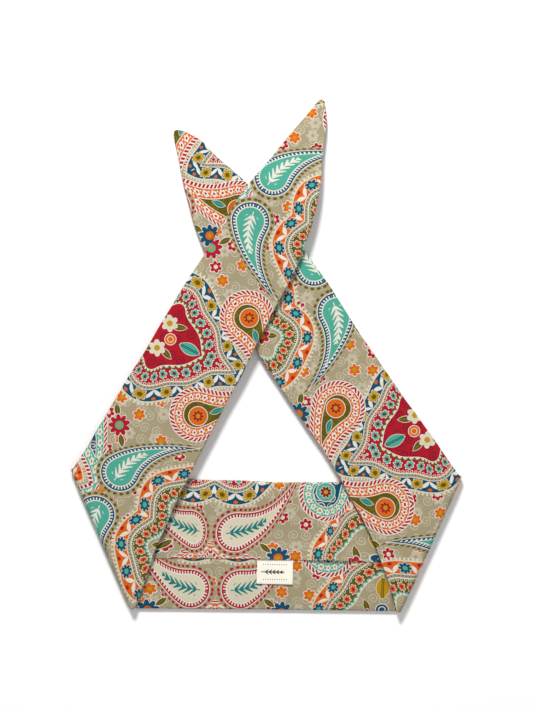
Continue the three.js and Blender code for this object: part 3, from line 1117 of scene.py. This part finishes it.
def scroll_mask(pen, place, pitch, arms, size):
    """Small spirals scattered over the cloth."""
    seen, chance = pen.cells(place, pitch, 0.45)
    x, y = pen.pair(seen)
    away = pen.length(seen)
    spin = pen.calc("SIGN", chance - 0.5)
    swirl = pen.calc("ARCTAN2", y, x) * spin * float(arms) + away * (6.2 / size * 1.9)
    return (pen.calc("SINE", swirl) > 0.45) * (away < size)


def paint_medallion(pen, picture, folded, scrolls):
    """A heart-shaped medallion: a field with flowers inside two rows of borders."""
    seen = pen.moved(pen.repeated(folded, (0, -14), (900, REPEAT)), (0, 0), -90)
    outside, length, x, y = drop_outline(pen, seen, radius=24.0, reach=50.0, lobe=12.0)
    ripple = pen.calc("COSINE", length * (2 * math.pi / 33))
    outside = ripple.times_plus(1.5, outside)
    strip = pen.place(length, outside)

    picture.paint((outside < 13.6) * (abs(length.wrapped(2.0)) < 0.5) * (outside > 11.0), "cream")
    picture.paint(outside < 11.8, "cream")
    picture.paint(outside < 10.8, ("blue", "orange"))
    cell = beads(pen, strip, 15.0)
    near = pen.vector("SUBTRACT", cell, (0, 6.4, 0))
    flower(pen, picture, near, 4.4, 8, ("mustard", "blue"), ("olive", "teal"), rim="cream")
    cell = pen.vector("WRAP", strip, (15, 500, 1), (0, -500, -1))
    leaf(pen, picture, cell, (7.5, 2.9), 55, 7.0, 1.15, "white")
    leaf(pen, picture, cell, (7.5, 2.9), 125, 7.0, 1.15, "white")
    dots(pen, picture, pen.moved(strip, (7.5, 0)), 9.2, 15.0, 1.1, ("orange", "red"))
    picture.paint(outside < 2.6, "white")
    picture.paint(outside < 2.1, "ground")
    dots(pen, picture, strip, 1.1, 2.3, 0.42, ("blue", "blue"))
    picture.paint(outside < 0.0, "white")
    picture.paint(outside < -0.7, ("red", "olive"))
    arches(pen, picture, strip, -1.6, 2.9, 1.1, 0.5, ("cream", "cream"))
    cell = beads(pen, strip, 8.2)
    near = pen.vector("SUBTRACT", cell, (0, -6.3, 0))
    flower(pen, picture, near, 3.5, 7, ("teal", "orange"), ("wine", "red"))
    arches(pen, picture, strip, -11.8, 4.1, 2.35, 0.85, ("olive", "teal"), fill="cream")
    picture.paint(outside < -11.8, "white")
    inside = outside < -12.3
    picture.paint(inside, ("red", "ground"))
    picture.paint(inside * scrolls, ("wine", "scroll"))

    half = pen.place(x, abs(y))
    leaf(pen, picture, half, (-2, 9.5), 152, 10.0, 1.9, "olive", vein="moss", rim="cream")
    leaf(pen, picture, half, (1, 8.0), 22, 11.0, 2.0, "olive", vein="moss", rim="cream")
    leaf(pen, picture, half, (12, 0.5), 0, 15.0, 3.3, ("teal", "mustard"), ("blue", "olive"), "cream")
    flower(pen, picture, pen.vector("SUBTRACT", half, (-1.0, 9.6, 0)), 6.0, 6, ("cream", "red"), "mustard")
    head = pen.distance(seen, (4.5, 0))
    picture.paint(head < 4.2, "white")
    picture.paint(head < 3.7, ("orange", "blue"))
    picture.paint(head.within(1.7, 2.3), ("cream", "white"))


def paint_paisley(pen, picture, folded, scrolls):
    """A large bent drop with a rope edge, a flowered band and a dark field with a roundel."""
    seen = pen.moved(pen.repeated(folded, (30, -66), (900, REPEAT)), (38.0, -45.0), -112)
    outside, length, x, y = drop_outline(pen, seen, radius=16.8, reach=50.0, bend=-0.0125)
    strip = pen.place(length, outside)
    picture.paint(outside < 2.6, "white")
    picture.paint(outside < 2.1, "red")
    stripes(picture, outside, length, -0.6, 2.1, 2.9, 0.9, 0.42, "white")
    picture.paint(outside < -0.6, "white")
    picture.paint(outside < -1.1, ("orange", "teal"))
    cell = beads(pen, strip, 6.3)
    flower(pen, picture, pen.vector("SUBTRACT", cell, (0, -4.1, 0)), 2.5, 5, "white", ("red", "mustard"))
    dots(pen, picture, pen.moved(strip, (3.15, 0)), -2.7, 6.3, 0.62, "white")
    dots(pen, picture, pen.moved(strip, (3.15, 0)), -5.6, 6.3, 0.62, "white")
    picture.paint(outside < -7.2, "white")
    inside = outside < -7.8
    picture.paint(inside, ("olive", "blue"))
    picture.paint(inside * scrolls, ("moss", "cream"))
    bent = pen.place(x, y)
    leaf(pen, picture, bent, (9, -1.0), -6, 9.0, 1.9, ("sea", "orange"), ("teal", "red"), "cream")
    head = pen.distance(seen, (1.0, 1.0))
    picture.paint(head < 6.9, "white")
    picture.paint(head < 6.4, ("orange", "teal"))
    middle = pen.vector("SUBTRACT", seen, (1.0, 1.0, 0))
    flower(pen, picture, middle, 4.6, 8, ("red", "wine"), "mustard", rim=("mustard", "cream"))


def paint_bud(pen, picture, folded):
    """A leaf-like bud with a ticked border inside a dotted line."""
    seen = pen.moved(pen.repeated(folded, (24, 54), (900, REPEAT)), (17.5, 55.0), -8)
    outside, length, x, y = drop_outline(pen, seen, radius=10.5, reach=36.0, bend=-0.017)
    strip = pen.place(length, outside)
    picture.paint(outside.within(3.3, 6.4), "ground")
    dots(pen, picture, strip, 4.9, 3.1, 0.95, ("red", "olive"))
    picture.paint(outside < 3.3, "white")
    picture.paint(outside < 2.7, ("red", "blue"))
    stripes(picture, outside, length, -0.2, 1.7, 2.0, 0.0, 0.45, "white")
    picture.paint(outside < -0.2, "white")
    inside = outside < -0.9
    picture.paint(inside, ("cream", "teal"))
    spray(picture, x, y, -4.0, 21.0, 4.0, 5.2, ("sea", "white"))


def paint_rosette(pen, picture, folded):
    """A round flower with a ring of petals between two leaves."""
    seen = pen.moved(pen.repeated(folded, (46, -70), (900, REPEAT)), (46.5, -71.5), 35)
    leaf(pen, picture, seen, (6, 0), 0, 9.5, 1.9, "olive", vein="moss", rim="white")
    leaf(pen, picture, seen, (-6, 0), 180, 9.5, 1.9, "olive", vein="moss", rim="white")
    flower(pen, picture, seen, 8.3, 9, ("blue", "red"), "cream")
    ring = pen.length(seen)
    picture.paint(ring < 3.0, ("orange", "teal"))
    picture.paint(ring < 1.4, "mustard")


def paint_cloth():
    """Printed cotton: the print, a fine weave with uneven threads, and the paler back of the cloth."""
    material, pen, shader = new_material("printed_cotton")
    source = pen.node("Attribute", attribute_name="cloth")
    place = source.outputs["Vector"]
    split = pen.node("SeparateXYZ")
    pen.feed(split.inputs[0], place)
    across, up, reverse = (Number(pen, out) for out in split.outputs)
    place = pen.place(across, up)
    folded, kind = folded_places(pen, place)

    picture = Picture(pen, "ground", kind)
    scrolls = scroll_mask(pen, place, 9.0, 1, 3.7)
    paint_ground(pen, picture, place, scrolls)
    paint_medallion(pen, picture, folded, scrolls)
    paint_paisley(pen, picture, folded, scrolls)
    paint_bud(pen, picture, folded)
    paint_rosette(pen, picture, folded)

    faded = pen.choose(0.62, picture.colour, linear("cream"))
    colour = pen.choose(reverse > 0.5, picture.colour, faded)
    warp = pen.calc("SINE", across * (2 * math.pi / THREAD))
    weft = pen.calc("SINE", up * (2 * math.pi / THREAD))
    weave = warp * weft
    slub = pen.node("TexNoise", noise_dimensions="2D")
    pen.feed(slub.inputs["Vector"], pen.vector("MULTIPLY", place, (0.35, 2.4, 1)))
    slub.inputs["Scale"].default_value = 1.0
    slub.inputs["Detail"].default_value = 4.0
    uneven = Number(pen, slub.outputs[0])
    shade = uneven.times_plus(0.24, weave.times_plus(0.03, 0.58))
    pen.feed(shader.inputs["Base Color"], pen.scaled(colour, shade))
    pen.feed(shader.inputs["Roughness"], uneven.times_plus(0.16, 0.76))
    shader.inputs["Sheen Weight"].default_value = 0.05
    shader.inputs["Sheen Roughness"].default_value = 0.45
    shader.inputs["Specular IOR Level"].default_value = 0.2
    add_bump(pen, shader, weave.times_plus(0.3, uneven), 0.00025, strength=0.5)
    return material


PRINTED_COTTON = paint_cloth()
for piece in cloth.values():
    piece.data.materials.append(PRINTED_COTTON)


# ---------------------------------------------------------------- label, inner pieces and sheets
LABEL_CLOTH = 0.16
LABEL_TUCK = 3.0  # how far the label reaches in under the hem
LABEL_TURN = math.radians(-1.2)
LABEL_PIVOT = -141.75  # height in the plan of the edge that the label hangs from, in the part's frame


def label_line():
    """The label's two plies in a plane across the seam: distance below the hem's edge, and height."""
    down = np.concatenate([np.linspace(-LABEL_TUCK, 0, 5), np.linspace(1.4, LABEL_DROP - 0.3, 13)])
    out = ease(down / LABEL_DROP)
    lower = np.stack([down, 3.70 + 0.05 * out], axis=1)
    upper = np.stack([down, 3.90 + 0.33 * ease(down / 6) + 0.08 * out], axis=1)[::-1]
    half = (upper[0, 1] - lower[-1, 1]) / 2
    turn = np.linspace(0, math.pi, 7)[1:-1]
    middle = lower[-1, 1] + half
    fold = np.stack([lower[-1, 0] + half * np.sin(turn), middle - half * np.cos(turn)], axis=1)
    return np.concatenate([lower, fold, upper])


def build_label():
    """A short strip of white cotton tape, folded in two and caught in the seam by its ends."""
    line = label_line()
    step = np.gradient(line, axis=0)
    normal = np.stack([step[:, 1], -step[:, 0]], axis=1) / np.linalg.norm(step, axis=1)[:, None]
    run = np.concatenate([[0], np.cumsum(np.linalg.norm(np.diff(line, axis=0), axis=1))])
    skin = [line + normal * LABEL_CLOTH / 2, line - normal * LABEL_CLOTH / 2]
    ring = np.concatenate([skin[0], skin[1][::-1]])
    places = np.concatenate([run, run[::-1]])
    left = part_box("folded_label")[0].x / MM
    across = np.linspace(0, LABEL_WIDTH, 15)
    points, flat = [], []
    for x in across:
        down, height = ring[:, 0], ring[:, 1]
        free = ease(down / LABEL_DROP)
        lift = 0.9 * free * (0.25 + 0.75 * (x / LABEL_WIDTH) ** 2)
        px = np.full(len(ring), x - LABEL_WIDTH / 2)
        py = -down
        turned_x = px * math.cos(LABEL_TURN) - py * math.sin(LABEL_TURN)
        turned_y = px * math.sin(LABEL_TURN) * ease(down / 4) + py * math.cos(LABEL_TURN)
        middle_x = left + LABEL_WIDTH / 2
        points.append(np.stack([turned_x + middle_x, turned_y + LABEL_PIVOT, height + lift], axis=1))
        flat.append(np.stack([np.full(len(ring), x), places, np.zeros(len(ring))], axis=1))
    label = closed_piece("label_tape", np.concatenate(points), grid_faces(len(across), len(ring)))
    lay_flat(label, np.concatenate(flat))
    label.data.set_sharp_from_angle(angle=math.radians(50))
    return label


def paint_label():
    """White tape with a fine rib and a small woven ornament: a sprig between two dotted lines."""
    material, pen, shader = new_material("label_cotton")
    source = pen.node("Attribute", attribute_name="cloth")
    x, run = pen.pair(source.outputs["Vector"])
    middle = 2 * LABEL_TUCK / 2 + LABEL_DROP * 1.5
    seen = pen.place(x - LABEL_WIDTH / 2, run - middle)
    sx, sy = pen.pair(seen)
    picture = Picture(pen, "white", 0.0)
    spray(picture, sx + 6.5, sy, 0.0, 13.0, 2.6, 2.2, "ink")
    cell = pen.vector("WRAP", pen.place(sx, abs(sy)), (0.8, 50, 1), (-0.8, -50, -1))
    picture.paint((pen.distance(cell, (0, 5.2)) < 0.36) * (abs(sx) < 9.2), "ink")
    rib = pen.calc("SINE", run * (2 * math.pi / 0.45))
    warp = pen.calc("SINE", x * (2 * math.pi / 0.36))
    shade = (rib * warp).times_plus(0.02, 0.93)
    pen.feed(shader.inputs["Base Color"], pen.scaled(picture.colour, shade))
    pen.feed(shader.inputs["Roughness"], rib.times_plus(0.05, 0.78))
    shader.inputs["Sheen Weight"].default_value = 0.15
    add_bump(pen, shader, rib * warp, 0.00006)
    return material


def speckled(name, dark, light, grain, roughness, distance, stretch=(1, 1, 1)):
    """A plain material with uneven colour, roughness and surface."""
    material, pen, shader = new_material(name)
    source = pen.node("TexCoord")
    noise = pen.node("TexNoise")
    pen.feed(noise.inputs["Vector"], pen.vector("MULTIPLY", source.outputs["Object"], stretch))
    noise.inputs["Scale"].default_value = 1 / (grain * MM)
    noise.inputs["Detail"].default_value = 4.0
    value = Number(pen, noise.outputs[0])
    pen.feed(shader.inputs["Base Color"], pen.choose(value, linear(dark), linear(light)))
    pen.feed(shader.inputs["Roughness"], value.times_plus(0.2, roughness - 0.1))
    add_bump(pen, shader, value, distance)
    return material


def dress_inner_pieces():
    """Materials of the interlining, the wires, the stitches and the CAD's own sleeve."""
    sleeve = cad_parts["wire_splice_sleeve"]
    sleeve.data.materials.clear()
    for pieces, material in (
        (lining.values(), speckled("interlining", "felt_dark", "felt", 0.8, 0.9, 0.00015)),
        (wire.values(), speckled("covered_wire", "wire_dark", "wire", 2.0, 0.42, 0.00003)),
        ([sleeve], speckled("splice_tape", "tape_dark", "tape", 0.6, 0.8, 0.00008, (0.3, 1, 1))),
        (thread.values(), speckled("sewing_thread", "thread_dark", "thread", 0.25, 0.65, 0.00005)),
    ):
        for piece in pieces:
            piece.data.materials.append(material)


label = build_label()
label.data.materials.append(paint_label())
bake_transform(label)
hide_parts("folded_label")
dress_inner_pieces()

# Each piece's stretch of the flat cloth: its width, its length along the band and its area, in metres
# and square metres. The whole cut is 0.19 by 0.92.
CUTS = {
    "left_tip": (0.117, 0.089, 0.0063, ["right_tail_cloth"]),
    "left_tail": (0.168, 0.273, 0.0353, ["neck_cloth", "right_tail_cloth"]),
    "left_corner": (0.192, 0.106, 0.0098, ["neck_cloth"]),
    "neck": (0.198, 0.239, 0.0363, []),
    "right_corner": (0.194, 0.103, 0.0101, ["neck_cloth"]),
    "right_tail": (0.181, 0.288, 0.0361, ["neck_cloth"]),
    "right_tip": (0.115, 0.093, 0.0057, ["right_tail_cloth"]),
}
for name, (width, length, area, below) in CUTS.items():
    [kind[name] for kind in (thread, lining) if name in kind]
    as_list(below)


# ---------------------------------------------------------------- camera, light and floor
VIEW_HEIGHT = 497.7 * MM  # height of the part of the floor that the picture shows
CAMERA_DISTANCE = 2.2


def add_camera():
    data = bpy.data.cameras.new("camera")
    data.sensor_width = 36
    data.lens = data.sensor_width * CAMERA_DISTANCE / VIEW_HEIGHT
    camera = bpy.data.objects.new("camera", data)
    camera.location = (0.0002, 0.0005, CAMERA_DISTANCE)
    bpy.context.scene.collection.objects.link(camera)
    bpy.context.scene.camera = camera


def add_floor():
    size = 3.0
    corners = [(-size, -size, 0), (size, -size, 0), (size, size, 0), (-size, size, 0)]
    floor = new_object("floor", corners, [(0, 1, 2, 3)])
    material = bpy.data.materials.new("floor")
    material.use_nodes = True
    shader = material.node_tree.nodes["Principled BSDF"]
    shader.inputs["Base Color"].default_value = (0.94, 0.94, 0.94, 1)
    shader.inputs["Roughness"].default_value = 0.9
    floor.data.materials.append(material)


def add_light(name, place, size, power):
    data = bpy.data.lights.new(name, "AREA")
    data.shape = "DISK"
    data.size = size
    data.energy = power
    light = bpy.data.objects.new(name, data)
    light.location = place
    light.rotation_mode = "QUATERNION"
    light.rotation_quaternion = (-Vector(place)).to_track_quat("-Z", "Y")
    bpy.context.scene.collection.objects.link(light)


def add_world():
    world = bpy.data.worlds.new("studio")
    world.use_nodes = True
    world.node_tree.nodes["Background"].inputs["Color"].default_value = (1, 1, 1, 1)
    world.node_tree.nodes["Background"].inputs["Strength"].default_value = 0.36
    bpy.context.scene.world = world


add_camera()
add_floor()
add_world()
add_light("window", (-0.25, 1.3, 1.3), 0.42, 36)
add_light("fill", (0.9, -0.6, 1.8), 1.4, 8)
bpy.context.scene.view_settings.view_transform = "Standard"
